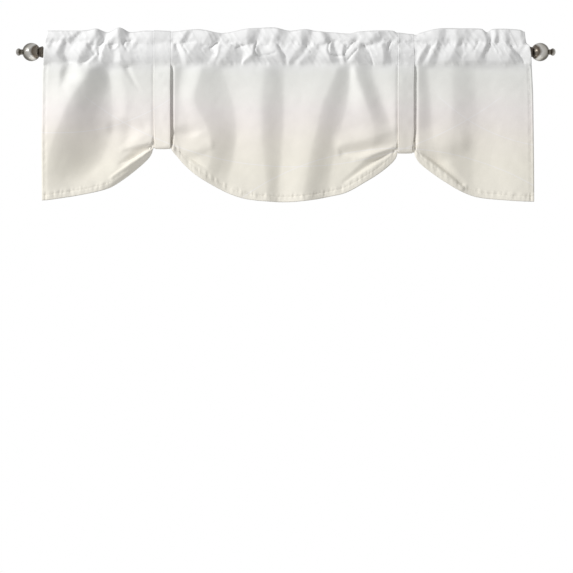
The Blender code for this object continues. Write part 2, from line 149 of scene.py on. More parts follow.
MOUTH_LENGTH = 26.0
MOUTH_FLARE = 3.5

# ---- small unevenness, mm
# A ripple is smooth noise. Over the rise called slant it leans sideways by one pitch.
Ripple = namedtuple("Ripple", "height pitch_x slant pitch_z seed")
NEVER = math.inf  # for a ripple that doesn't lean, or doesn't change upwards
CLOTH_RIPPLES = (Ripple(0.55, 34, 90, 60, 11), Ripple(0.22, 15, -40, 26, 12))
# The heading's small gathers lie along its two stitch lines, and wider ones along the upper.
FINE_GATHERS = (Ripple(1, 7.5, NEVER, 16, 21), Ripple(0.5, 4.2, NEVER, 9, 22))
FINE_SEAM_SPREAD = 9.0
FINE_STITCH_SPREAD = 8.0
FINE_STITCH_SHARE = 0.7
WIDE_GATHERS = Ripple(2, 11, -24, 30, 24)
WIDE_SPREAD = 17.0
HEADING_UNEVEN = Ripple(1, 16, 22, 18, 23)
CRUMPLES = Ripple(1, 14, 20, 24, 25)
CRUMPLE_HEIGHT = 1.7
CRUMPLE_SHARPNESS = 4
# The heading lies flatter over the left strap.
CALM_X = -350.0
CALM_REACH = 52.0
CALM_SHARE = 0.7
# The heading's two stitch lines wander up and down, but not beside the straps.
SEAM_WANDER = Ripple(3.4, 27, NEVER, NEVER, 41)
STITCH_WANDER = Ripple(1.6, 33, NEVER, NEVER, 42)
WANDER_SPREAD = 13.0
WANDER_CLEARANCE = 22.0
HEM_PUCKERS = (Ripple(1.5, 7.5, NEVER, 30, 5), Ripple(0.9, 4, NEVER, 20, 6))
HEM_PUCKER_SPREAD = 8.0
HEM_GROOVE = 0.9
HEM_GROOVE_WIDTH = 1.8
SIDE_HEM = 9.0  # the stitch line of a side hem, in from the cloth's edge
SIDE_GROOVE = 1.6
SIDE_GROOVE_WIDTH = 2.4
SIDE_PUCKERS = Ripple(0.8, 6, NEVER, NEVER, 51)
# Along a strap's loop, its sway sideways and the unevenness of its face.
STRAP_SWAY = Ripple(0.5, 42, NEVER, NEVER, 31)
STRAP_WAVE = Ripple(0.35, 13, NEVER, 19, 32)

# ---- folds of the heading, mm
HeaderFold = namedtuple("HeaderFold", "x_top x_seam out_top out_seam")
HEADER_FOLDS = [HeaderFold(*row) for row in (
    (-645, -650, 1, 1), (-563, -600, 3, 3), (-545, -583, -2, -2), (-513, -512, 9, 6),
    (-485, -491, -6, -3), (-454, -449, 8, 6), (-421, -426, -7, -4), (-363, -367, 1, 1),
    (-304, -304, -2, -2), (-267, -288, 5, 4), (-250, -268, -2, -2), (-204, -222, 6, 6),
    (-172, -180, -5, -4), (-103, -108, 6, 5), (-64, -84, -3, -3), (-20, -40, 5, 3),
    (12, -5, -3, -3), (40, 42, 5, 4), (72, 64, -4, -3), (92, 112, 5, 5), (117, 132, -5, -5),
    (175, 172, 3, 2), (194, 186, 1, 0), (246, 217, 7, 5), (288, 262, -3, -2), (298, 298, -4, -4),
    (351, 351, -4, -4), (411, 411, 4, 4), (433, 431, -2, -2), (462, 457, 4, 5),
    (514, 481, -3, -2), (533, 541, 3, 3), (552, 554, -5, -5), (565, 562, 0, 1),
    (575, 573, -2, -2), (592, 592, 2, 2), (606, 603, -1, -1), (633, 632, 3, 2), (645, 650, 0, -1),
)]
# Places and reliefs at some levels; sharp is 0 for a round crest and 1 for a pinched one.
Fold = namedtuple("Fold", "places outs sharp")
HEADING_SHARP = 0.5
POCKET_LEVELS = (22, -5, -35)
POCKET_FOLDS = [Fold(row[:3], row[3:], HEADING_SHARP) for row in (
    (-651, -651, -652, 2, 2, 1), (-607, -618, -604, 6, 8, 6), (-588, -596, -583, -3, -3, -4),
    (-537, -553, -561, 8, 9, 6), (-527, -513, -547, -1, -3, -3), (-518, -508, -531, 3, 0, 4),
    (-504, -503, -505, -3, -3, -1), (-485, -496, -495, 6, 5, 0), (-470, -462, -466, -4, -3, -3),
    (-452, -446, -446, 1, 1, 6), (-400, -400, -394, -4, -4, -2), (-376, -375, -374, -1, -1, -1),
    (-362, -362, -362, -1, -1, -2), (-303, -305, -306, 2, 1, 0), (-296, -288, -280, -3, -3, -3),
    (-284, -272, -266, 5, 7, 5), (-242, -261, -262, 8, 8, 5), (-197, -197, -212, -3, -3, -2),
    (-180, -183, -194, 5, 5, 1), (-174, -178, -190, 4, 4, 1), (-148, -160, -180, 8, 7, 4),
    (-124, -116, -119, -3, -3, -2), (-88, -90, -117, 7, 8, 5), (-72, -66, -60, -3, -2, -2),
    (-30, -18, -8, 6, 5, 0), (-18, -5, 3, -2, -2, -2), (44, 22, 7, 5, 3, 3),
    (60, 46, 22, -2, -2, -2), (75, 58, 38, 1, 1, 3), (90, 86, 74, -3, -3, -2),
    (119, 117, 119, 6, 4, 4), (130, 139, 147, -4, -3, -3), (154, 152, 158, 4, 4, 2),
    (165, 160, 164, -1, -1, -1), (198, 190, 178, 7, 6, 6), (212, 222, 232, -3, -3, -3),
    (257, 262, 262, 7, 8, 6), (281, 284, 286, -3, -3, -2), (297, 297, 297, -3, -3, -3),
    (351, 351, 351, -3, -3, -3), (379, 365, 354, 6, 4, 1), (392, 384, 370, -2, -3, -3),
    (408, 394, 384, 4, 3, 1), (424, 414, 408, -3, -3, -3), (457, 449, 435, 6, 6, 5),
    (476, 478, 470, -2, -2, -1), (546, 527, 514, 6, 4, 2), (552, 543, 541, -4, -3, -1),
    (600, 603, 597, 5, 6, 6), (611, 630, 649, -2, -3, -3), (655, 659, 663, 3, 2, 1),
)]

# ---- folds of the body, mm
BODY_LEVELS = (-38, -130, -219, -300, -385)
BODY_FOLDS = [Fold(*row) for row in (
    # left of the left strap
    ((-657,) * 5, (2, 10, 25, 26, 21), 0.3),
    ((-533, -581, -618, -640, -645), (16, 26, 29, 27, 22), 0.3),
    ((-478, -470, -474, -504, -560), (-11, -15, -15, -11, 18), 0.2),
    ((-440, -430, -434, -450, -480), (-4, -8, -11, -6, 13), 0.3),
    ((-362,) * 5, (-3, -4, -4, -4, -4), 0.5),
    # between the straps
    ((-305,) * 5, (1, 1, 1, 0, 0), 0.0),
    ((-278, -290, -292, -292, -292), (-4, 0, -1, -2, -3), 0.0),
    ((-228, -246, -206, -206, -245), (6, 8, 9, 6, 2), 0.4),
    ((-172, -146, -134, -144, -165), (-5, -7, -7, -6, -4), 0.4),
    ((-58, -64, -64, -58, -52), (5, 7, 7, 5, 4), 0.3),
    ((-5, -5, -8, -14, -20), (-4, -5, -4, -3, -3), 0.5),
    ((136, 103, 80, 62, 50), (6, 10, 11, 11, 11), 0.3),
    ((173, 166, 146, 128, 112), (-3, -4, -3, -4, -5), 0.3),
    ((187, 213, 238, 222, 205), (4, 8, 4.5, 4, 2), 0.4),
    ((233, 258, 286, 282, 275), (-6, -5, 0, -1, -1), 0.2),
    ((297,) * 5, (1, 2, 0, -1, -2), 0.0),
    # right of the right strap
    ((352,) * 5, (-1, -3, -4, -5, -4), 0.0),
    ((385, 392, 398, 410, 420), (-8, -10, -12, -9, -6), 0.2),
    ((450, 450, 450, 444, 452), (-3, -3, -7, -7, -7), 0.3),
    ((512, 516, 518, 508, 510), (-10, -12, -14, -15, -13), 0.2),
    ((640,) * 5, (-3, -2, 0, 3, 5), 0.6),
    ((668,) * 5, (-2, 0, 2, 5, 7), 0.3),
)]

# ---- creases, mm
# A crease runs on a curve from its start past its middle to its end, and stands out (or in,
# below 0) by its three outs. Seen along the run, left and right are how far its two sides
# reach, and sharp is 1 for a pinched crest and 0 for a round one. It narrows as it fades.
Crease = namedtuple("Crease", "x_start z_start x_mid z_mid x_end z_end outs left right sharp")
HEADING_CREASES = [Crease(*row) for row in (
    # left of the left strap
    (-529, 24, -510, -5, -491, -32, (3, 2.75, 2.5), 5, 5, 1.0),
    (-480, 30, -472, 5, -451, 16, (3.5, 3.5, 3.5), 5, 6, 0.8),
    (-418, 30, -437, 24, -426, 5, (-5, -5, -5), 5, 6, 0.8),
    # between the straps
    (-278, 16, -272, 8, -264, -3, (-3, -3, -3), 4, 4, 0.8),
    (-184, 26, -202, 8, -190, -8, (-7, -6.5, -6), 5, 6, 0.8),
    (-148, 24, -143, 19, -132, 13, (-4, -4, -4), 4, 4, 0.8),
    (-137, 13, -121, 22, -102, 27, (3, 3, 3), 4, 4, 0.8),
    (-78, 27, -78, -8, -29, -3, (-6, -5, -4), 5, 5, 0.8),
    (-21, 16, -10, 3, 1, -14, (-4, -4, -4), 4, 4, 0.8),
    (55, 19, 60, 8, 68, -3, (-3, -3, -3), 4, 4, 0.8),
    (119, 27, 119, -5, 157, -11, (-7, -6, -5), 5, 6, 0.8),
    (181, 24, 168, 8, 157, -5, (-5, -5, -5), 4, 5, 0.8),
    (192, 5, 179, -8, 168, -22, (-5, -5, -5), 4, 5, 0.8),
    (211, 19, 226, -5, 236, -38, (-3, -4, -4), 5, 5, 0.7),
    (284, 24, 279, 16, 276, 5, (-5, -5, -5), 5, 5, 0.7),
    # right of the right strap
    (408, 27, 400, 13, 389, 0, (3, 3, 3), 4, 4, 0.8),
    (519, 24, 514, 13, 506, 3, (-3, -3, -3), 5, 5, 0.6),
    (549, 22, 538, 5, 535, -22, (-6, -4, -1), 5, 5, 0.8),
    (551, 27, 562, 13, 570, -3, (3, 3, 3), 4, 4, 0.8),
    (560, 24, 576, 27, 592, 22, (-3, -2.5, -2), 4, 4, 0.8),
    (608, 16, 627, -5, 643, -30, (-5, -5, -5), 5, 6, 0.7),
)]
BODY_CREASES = [Crease(*row) for row in (
    (-584, -28, -590, -58, -604, -92, (-5, -10, -2), 46, 22, 0.1),  # slant by the left edge
    (-430, -38, -416, -70, -396, -104, (-5, -3, -1), 14, 12, 0.2),  # slant under left ridge
    (-462, -210, -424, -212, -386, -206, (-5, -8, -4), 44, 36, 0.0),  # left wedge
    (-360, -246, -404, -252, -440, -264, (4, 7, 2), 14, 32, 0.2),  # left pillow
    (-360, -256, -404, -281, -446, -302, (-4, -8, -2), 10, 22, 0.3),  # left leaf
    (-362, -264, -404, -291, -470, -338, (4, 7, 3), 12, 9, 0.4),  # left hem crest
    (-302, -219, -262, -219, -222, -210, (-3, -6.5, -1), 32, 20, 0.1),  # over the nose
    (-300, -258, -252, -267, -203, -252, (3, 5.5, 2.5), 42, 24, 0.0),  # nose
    (-296, -264, -256, -287, -206, -324, (-3, -5, -1), 18, 8, 0.3),  # under the nose
    (152, -248, 220, -232, 290, -212, (5, 5.5, 1.5), 42, 32, 0.2),  # brow
    (154, -274, 222, -266, 302, -250, (-5, -6, -2), 30, 15, 0.2),  # mouth
    (188, -292, 234, -278, 298, -256, (2, 5, 4), 22, 16, 0.3),  # tongue
    (303, -262, 232, -300, 158, -352, (-3, -7, -2), 12, 20, 0.3),  # right hem wedge
    (356, -274, 402, -306, 478, -366, (3, 6, 3), 9, 24, 0.3),  # far flap
    (356, -246, 412, -247, 470, -243, (5, 9, 5), 60, 54, 0.0),  # far ridge
    (356, -264, 410, -298, 476, -356, (-3, -6, -3), 24, 12, 0.1),  # far hollow
)]
CREASE_TIP = 0.4  # the reach of a crease that has faded away, as a share
CREASE_STEPS = 12

# How far the hem rolls back behind its band: x and the way back
HEM_ROLLS = (
    (-655, 0), (-500, 0), (-478, 5), (-440, 10), (-400, 11), (-362, 7), (-306, 0), (240, 0),
    (297, 2), (352, 0), (668, 0),
)
HEM_ROLL_HEIGHT = 19.0
HEM_ROLL_SMOOTHS = 0.08  # the share of the puckers that each mm of roll takes away


# ---- curves and blends
def mix(a, b, t):
    return a + (b - a) * t


def ease(t):
    return 0.5 - 0.5 * np.cos(np.pi * np.clip(t, 0.0, 1.0))


def smooth_curve(places, values, place):
    """A smooth curve through the values, level beyond its first and last place."""
    places = np.asarray(places, float)
    values = np.asarray(values, float)
    slopes = np.zeros_like(values)
    slopes[1:-1] = (values[2:] - values[:-2]) / (places[2:] - places[:-2])
    place = np.clip(place, places[0], places[-1])
    i = np.clip(np.searchsorted(places, place, side="right") - 1, 0, len(places) - 2)
    span = places[i + 1] - places[i]
    t = (place - places[i]) / span
    a, b = values[i], values[i + 1]
    rise_a, rise_b = slopes[i] * span, slopes[i + 1] * span
    bend = (2 * a - 2 * b + rise_a + rise_b) * t ** 3
    bow = (-3 * a + 3 * b - 2 * rise_a - rise_b) * t ** 2
    return bend + bow + rise_a * t + a


LEAST_STEP = 0.5  # two stops lie at least this far apart


def between(stops, x):
    """The value at x between stops (x, value, sharp), whose places and values may be arrays."""
    total = np.where(x <= stops[0][0], stops[0][1], stops[-1][1]) + np.zeros_like(x)
    for (x0, v0, sharp0), (x1, v1, sharp1) in zip(stops, stops[1:]):
        t = (x - x0) / np.maximum(x1 - x0, LEAST_STEP)
        inside = (t > 0.0) & (t <= 1.0)
        t = np.clip(t, 0.0, 1.0)
        rise = 3 * t ** 2 - 2 * t ** 3
        rise = rise + sharp0 * (t ** 3 - 2 * t ** 2 + t) + sharp1 * (t ** 3 - t ** 2)
        total = np.where(inside, mix(v0, v1, rise), total)
    return total


def closeness(x, reach, start=STRAP_FLARE):
    """1 up to the start, measured out from a strap's edge, falling to 0 over the reach."""
    gaps = [np.maximum(strap.x_left - x, x - strap.x_right) for strap in STRAPS]
    return 1.0 - ease((np.minimum(*gaps) - start) / reach)


LATTICE = 97


def soft_noise(u, v, seed):
    """Smooth noise from -1 to 1, with one random value at each whole number of u and v."""
    lattice = np.random.RandomState(seed).uniform(-1.0, 1.0, (LATTICE, LATTICE))
    u0, v0 = np.floor(u).astype(int), np.floor(v).astype(int)
    fu, fv = u - u0, v - v0
    fu, fv = fu * fu * (3 - 2 * fu), fv * fv * (3 - 2 * fv)

    def corner(du, dv):
        return lattice[(u0 + du) % LATTICE, (v0 + dv) % LATTICE]

    low = mix(corner(0, 0), corner(1, 0), fu)
    high = mix(corner(0, 1), corner(1, 1), fu)
    return mix(low, high, fv)


def bell(distance, width):
    """1 at no distance, falling to 0 on both sides."""
    return np.exp(-(distance / width) ** 2)


def ripple(layer, x, z):
    across = x / layer.pitch_x + z / layer.slant
    return layer.height * soft_noise(across, z / layer.pitch_z, layer.seed)


def ripples(layers, x, z):
    return sum(ripple(layer, x, z) for layer in layers)


# ---- the cloth's outline
def side_x(z):
    heights, lefts, rights = zip(*SIDE_EDGES)
    return smooth_curve(heights, lefts, z), smooth_curve(heights, rights, z)


def flared_edges(strap):
    """The cloth's columns beside a strap's two edges."""
    return strap.x_left - STRAP_FLARE, strap.x_right + STRAP_FLARE


def hem_z(x):
    points = list(HEM_LINE)
    for strap in STRAPS:
        points += [(edge, strap.bottom_z + HEM_REST) for edge in flared_edges(strap)]
    z = smooth_curve(*zip(*sorted(points)), x)
    for strap in STRAPS:
        left, right = flared_edges(strap)
        z = np.where((x >= left) & (x <= right), strap.bottom_z + HEM_REST, z)
    return z


def hem_tilt(x):
    """How much taller than wide the hem's band is where the hem slopes."""
    slope = (hem_z(x + HEM_SLOPE_SPAN) - hem_z(x - HEM_SLOPE_SPAN)) / (2 * HEM_SLOPE_SPAN)
    return np.minimum(np.sqrt(1.0 + slope ** 2), HEM_TALLEST)


def top_z(x):
    return smooth_curve(*zip(*TOP_EDGE), x)


# ---- the cloth's relief
def header_out(x, z):
    height = np.clip((z - SEAM_Z) / (HEADER_TOP_Z - SEAM_Z), 0.0, 1.0)
    stops = [(mix(row.x_seam, row.x_top, height), mix(row.out_seam, row.out_top, height),
              HEADING_SHARP) for row in HEADER_FOLDS]
    return between(stops, x)


def folds_out(folds, levels, x, z):
    """The relief of folds whose places and reliefs are given at some levels, from the top."""
    falls = [-level for level in levels]
    stops = [(smooth_curve(falls, fold.places, -z), smooth_curve(falls, fold.outs, -z), fold.sharp)
             for fold in folds]
    return between(stops, x)


def pocket_out(x, z):
    return folds_out(POCKET_FOLDS, POCKET_LEVELS, x, z)


def crease_curve(crease):
    t = np.linspace(0.0, 1.0, CREASE_STEPS + 1)
    start = np.array([crease.x_start, crease.z_start])
    middle = np.array([crease.x_mid, crease.z_mid])
    end = np.array([crease.x_end, crease.z_end])
    control = 2 * middle - 0.5 * (start + end)
    a, b, c = ((1 - t) ** 2)[:, None], (2 * t * (1 - t))[:, None], (t ** 2)[:, None]
    return a * start + b * control + c * end


def nearest_on(curve, x, z):
    """How far the points x, z lie from a curve, on which side, at which share of its length,
    and whether past an end: 0 beside the curve, 1 straight on."""
    nearest = np.full_like(x, np.inf)
    side, place, beyond = np.zeros_like(x), np.zeros_like(x), np.zeros_like(x)
    for i, (a, b) in enumerate(zip(curve, curve[1:])):
        run = b - a
        t = np.clip(((x - a[0]) * run[0] + (z - a[1]) * run[1]) / (run @ run), 0.0, 1.0)
        miss_x, miss_z = x - a[0] - t * run[0], z - a[1] - t * run[1]
        miss = np.hypot(miss_x, miss_z)
        ahead = (run[0] * miss_x + run[1] * miss_z) / (np.hypot(*run) * np.maximum(miss, TINY))
        closer = miss < nearest
        nearest = np.where(closer, miss, nearest)
        side = np.where(closer, run[0] * miss_z - run[1] * miss_x, side)
        place = np.where(closer, (i + t) / CREASE_STEPS, place)
        beyond = np.where(closer, ahead ** 2, beyond)
    return nearest, side, place, beyond


def crease_out(x, z, crease):
    """The relief of one crease at the points x, z."""
    nearest, side, place, beyond = nearest_on(crease_curve(crease), x, z)
    start, middle, end = crease.outs
    first_half = mix(start, middle, ease(2.0 * place))
    second_half = mix(middle, end, ease(2.0 * place - 1.0))
    out = np.where(place < 0.5, first_half, second_half)
    reach = np.where(side > 0.0, crease.left, crease.right)
    reach = mix(reach, min(crease.left, crease.right), beyond)
    reach = reach * mix(CREASE_TIP, 1.0, np.abs(out) / np.abs(crease.outs).max())
    t = np.clip(nearest / reach, 0.0, 1.0)
    round_fall = (1.0 - t) ** 2 * (1.0 + 2.0 * t)
    sharp_fall = (1.0 - t) ** 2
    return out * mix(round_fall, sharp_fall, crease.sharp)


def free_of_straps(x):
    """0 beside a strap's edges and over the strap, 1 away from it."""
    return 1.0 - closeness(x, STRAP_CLEARANCE)


def creases_out(x, z, creases):
    x, z = np.broadcast_arrays(x, z)
    return free_of_straps(x) * sum(crease_out(x, z, crease) for crease in creases)


def strap_dip(x):
    return STRAP_DIP * closeness(x, STRAP_DIP_REACH)


def heading_dip(x):
    """In the heading the cloth closes up to a strap's edges."""
    return STRAP_DIP * closeness(x, 2.0 * STRAP_FLARE, -STRAP_FLARE)


def strap_groove(x, z):
    """The cloth falls away steeply beside a strap's right edge, under the heading."""
    groove = np.zeros_like(x)
    for strap in STRAPS:
        across = bell(x - strap.x_right - GROOVE_SHIFT, GROOVE_WIDTH)
        upper = ease((GROOVE_TOP - z) / GROOVE_FADE)
        lower = ease((z - strap.bottom_z - GROOVE_END) / GROOVE_FADE)
        groove = groove + strap.groove * across * upper * lower
    return groove


def side_groove(x, z):
    """The stitch line of the narrow hems down the cloth's two sides, with its puckers."""
    left, right = side_x(z)
    inwards = np.minimum(x - left, right - x)
    pucker = 1.0 + ripple(SIDE_PUCKERS, z, z)
    return SIDE_GROOVE * pucker * bell(inwards - SIDE_HEM, SIDE_GROOVE_WIDTH)


def gathers_out(x, z):
    """The heading's gathers and crumples."""
    seam = bell(z - SEAM_Z, FINE_SEAM_SPREAD)
    stitch = bell(z - STITCH_Z, FINE_STITCH_SPREAD)
    out = ripples(FINE_GATHERS, x, z) * (seam + FINE_STITCH_SHARE * stitch)
    out = out + ripple(HEADING_UNEVEN, x, z)
    out = out + ripple(WIDE_GATHERS, x, z) * bell(z - SEAM_Z, WIDE_SPREAD)
    crumple = 1.0 - np.abs(ripple(CRUMPLES, x, z))
    out = out + CRUMPLE_HEIGHT * crumple ** CRUMPLE_SHARPNESS
    return out * (1.0 - CALM_SHARE * bell(x - CALM_X, CALM_REACH))


def hem_back(x):
    return smooth_curve(*zip(*HEM_ROLLS), x)


def hem_roll(x, up):
    return hem_back(x) * np.clip(1.0 - up / HEM_ROLL_HEIGHT, 0.0, 1.0) ** 2


def hem_pucker(x, up):
    """Small puckers along the hem's stitch line, fewer where the hem rolls back."""
    puckers = ripples(HEM_PUCKERS, x, up) * bell(up - HEM_STITCH, HEM_PUCKER_SPREAD)
    groove = HEM_GROOVE * bell(up - HEM_STITCH, HEM_GROOVE_WIDTH)
    return (puckers - groove) * (1.0 - HEM_ROLL_SMOOTHS * hem_back(x))


# ---- the sheet's points
def column_places(left, right):
    """Where the sheet's columns stand, with lines along the straps' edges."""
    breaks = [left]
    for strap in STRAPS:
        breaks += flared_edges(strap)
    breaks.append(right)
    places = [float(left)]
    for start, end, count in zip(breaks, breaks[1:], COLUMN_COUNTS):
        t = np.arange(1, count + 1) / count
        warped = t - CROWDING * np.sin(2 * np.pi * t) / (2 * np.pi)
        places += list(mix(start, end, warped))
    return np.array(places)


def places_at(z):
    """Column places where each column has its own height, for rows that follow the hem."""
    left0, right0 = side_x(STITCH_Z)
    upright = column_places(left0, right0)
    left, right = side_x(z)
    inner_left, inner_right = STRAPS[0].x_left, STRAPS[-1].x_right
    lean_left = np.clip((inner_left - upright) / (inner_left - left0), 0, 1)
    lean_right = np.clip((upright - inner_right) / (right0 - inner_right), 0, 1)
    return upright + (left - left0) * lean_left + (right - right0) * lean_right


def wandering(x, y, z):
    """A row's points, with the two stitch lines of the heading wandering up and down."""
    seam = bell(z - SEAM_Z, WANDER_SPREAD) * ripple(SEAM_WANDER, x, z)
    stitch = bell(z - STITCH_Z, WANDER_SPREAD) * ripple(STITCH_WANDER, x, z)
    free = 1.0 - closeness(x, WANDER_CLEARANCE)
    return np.stack([x, y, z + free * (seam + stitch)], axis=-1)


def front_relief(x, z):
    """The folds' relief, passing from the pocket's pattern into the body's."""
    top, low = PATTERN_BLEND
    into_body = ease((top - z) / (top - low))
    return mix(pocket_out(x, z), folds_out(BODY_FOLDS, BODY_LEVELS, x, z), into_body)


def body_plane_y(z):
    """The body's y without its folds: its top stands forward under the pocket."""
    return BODY_Y - BODY_TOP_FORWARD * (1.0 - ease((STITCH_Z - z) / BODY_TOP_REACH))


def body_fold_out(x, z):
    opening = mix(POCKET_FRONT[0].share, 1.0, ease((STITCH_Z - z) / BODY_OPENING))
    return front_relief(x, z) * opening


def body_row(up, share):
    """A row at a height up from the hem, or a share of the way up from the hem's band."""
    x = places_at(np.full(sum(COLUMN_COUNTS) + 1, FIRST_Z))
    for _ in range(PLACINGS):
        hem, tilt = hem_z(x), hem_tilt(x)
        band_top = hem + HEM_FRONT_ROWS[-1] * tilt
        z = hem + up * tilt if share is None else mix(band_top, STITCH_Z, share)
        x = places_at(z)
    height_over_hem = (z - hem) / tilt
    out = body_fold_out(x, z) + creases_out(x, z, BODY_CREASES)
    out += free_of_straps(x) * (ripples(CLOTH_RIPPLES, x, z) - hem_roll(x, height_over_hem))
    out += hem_pucker(x, height_over_hem)
    out -= strap_dip(x) + strap_groove(x, z) + side_groove(x, z)
    return wandering(x, body_plane_y(z) - out, z)


def profile_at(rows, z):
    heights, depths, shares = zip(*rows)
    return smooth_curve(heights, depths, z), smooth_curve(heights, shares, z)


def clear_of_rod(points):
    """The points, with those too near the rod pushed straight out from its axis."""
    distance = np.hypot(points[:, 1], points[:, 2])
    push = np.maximum((ROD_RADIUS + ROD_CLEARANCE) / np.maximum(distance, TINY), 1.0)
    return points * np.stack([np.ones_like(push), push, push], axis=-1)


def mouth_flare(x, left, right):
    distance = np.minimum(x - left, right - x)
    return MOUTH_FLARE * (1.0 - ease(distance / MOUTH_LENGTH))


def pocket_row(z, side, profile):
    """A row of the pocket's front (side -1) or back (side 1)."""
    left, right = side_x(z)
    x = column_places(left, right)
    depth, share = profile_at(profile, z)
    out = front_relief(x, np.full_like(x, z))
    if side < 0:
        out = out + creases_out(x, z, HEADING_CREASES) + gathers_out(x, z) - heading_dip(x)
    y = side * depth - out * share
    y = y + side * mouth_flare(x, left, right) * (z > STITCH_Z)
    return clear_of_rod(wandering(x, y, np.full_like(x, z)))


def header_row(z, side):
    x = column_places(*side_x(z))
    depth, share = profile_at(HEADER_HALF, z)
    out = header_out(x, z) + gathers_out(x, z)
    if side < 0:
        out = out + creases_out(x, z, HEADING_CREASES) - heading_dip(x)
    up = (z - SEAM_Z) / (HEADER_TOP_Z - SEAM_Z)
    height = mix(SEAM_Z, top_z(x), up)
    return wandering(x, side * depth - mix(SEAM_FORWARD, TOP_FORWARD, up) - out * share, height)


def seam_row(side):
    """The header's stitch line, where the pocket's folds and the header's meet."""
    x = column_places(*side_x(SEAM_Z))
    z = np.full_like(x, SEAM_Z)
    depth, share = profile_at(HEADER_HALF, SEAM_Z)
    out = 0.5 * (header_out(x, SEAM_Z) + pocket_out(x, z))
    out = out + creases_out(x, z, HEADING_CREASES) + gathers_out(x, z)
    if side < 0:
        out = out - heading_dip(x)
    return wandering(x, side * depth - SEAM_FORWARD - out * share, z)


def steps(start, end, count):
    """Even steps from start to end, without the two ends."""
    return mix(start, end, np.arange(1, count) / count)


def heading_front():
    """The cloth's front rows, from the pocket's stitch line to the header's top."""
    pocket = (STITCH_Z, *steps(STITCH_Z, SEAM_Z, POCKET_ROWS))
    rows = [pocket_row(z, -1, POCKET_FRONT) for z in pocket]
    rows.append(seam_row(-1))
    rows += [header_row(z, -1) for z in (*steps(SEAM_Z, HEADER_TOP_Z, HEADER_ROWS), HEADER_TOP_Z)]
    return rows


def sheet_rows():
    """The rows of the cloth: up its back hem, its front, over the header and down behind."""
    rows = [body_row(up, None) for up in (*HEM_BACK_ROWS, *HEM_FRONT_ROWS)]
    for row in rows[:len(HEM_BACK_ROWS)]:
        row[:, 1] += HEM_LAYER + CLOTH_THICK
    for share in steps(0.0, 1.0, BODY_ROWS):
        share *= 1.0 - BODY_ROW_CROWDING * (1.0 - share)
        rows.append(body_row(0.0, share)[::2])
    rows += heading_front()
    behind = [header_row(z, 1) for z in steps(HEADER_TOP_Z, SEAM_Z, BACK_ROWS)]
    behind.append(seam_row(1))
    end = POCKET_BACK[0].z
    behind += [pocket_row(z, 1, POCKET_BACK) for z in (*steps(SEAM_Z, end, BACK_ROWS), end)]
    return rows + [row[::2] for row in behind]


# ---- meshes
def smooth_mesh(name, points, faces):
    """A mesh from points in millimetres."""
    mesh = bpy.data.meshes.new(name)
    mesh.from_pydata((points * MM).tolist(), [], faces)
    mesh.shade_smooth()
    return mesh


def link(item):
    bpy.context.scene.collection.objects.link(item)
    return item


def row_faces(low, low_count, high, high_count):
    """Faces between two rows, given the number of their first point and their counts."""
    if low_count == high_count:
        return [(low + c, low + c + 1, high + c + 1, high + c) for c in range(low_count - 1)]
    if low_count > high_count:
        return [(low + 2 * c, low + 2 * c + 1, low + 2 * c + 2, high + c + 1, high + c)
                for c in range(high_count - 1)]
    return [(low + c, low + c + 1, high + 2 * c + 2, high + 2 * c + 1, high + 2 * c)
            for c in range(low_count - 1)]


def rows_mesh(name, rows, closed=False):
    """A mesh from rows of points in millimetres, with as many or half as many in the next."""
    starts = np.concatenate([[0], np.cumsum([len(row) for row in rows])])
    order = list(range(len(rows))) + ([0] if closed else [])
    faces = []
    for low, high in zip(order, order[1:]):
        faces += row_faces(int(starts[low]), len(rows[low]), int(starts[high]), len(rows[high]))
    return smooth_mesh(name, np.concatenate(rows), faces)


def add_piece(name, mesh, material):
    mesh.materials.append(material)
    piece = link(bpy.data.objects.new(name, mesh))
    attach(piece, "root")
    return piece


def solidify(piece, thickness):
    shell = piece.modifiers.new("thickness", "SOLIDIFY")
    shell.thickness = thickness * MM
    shell.offset = 0.0


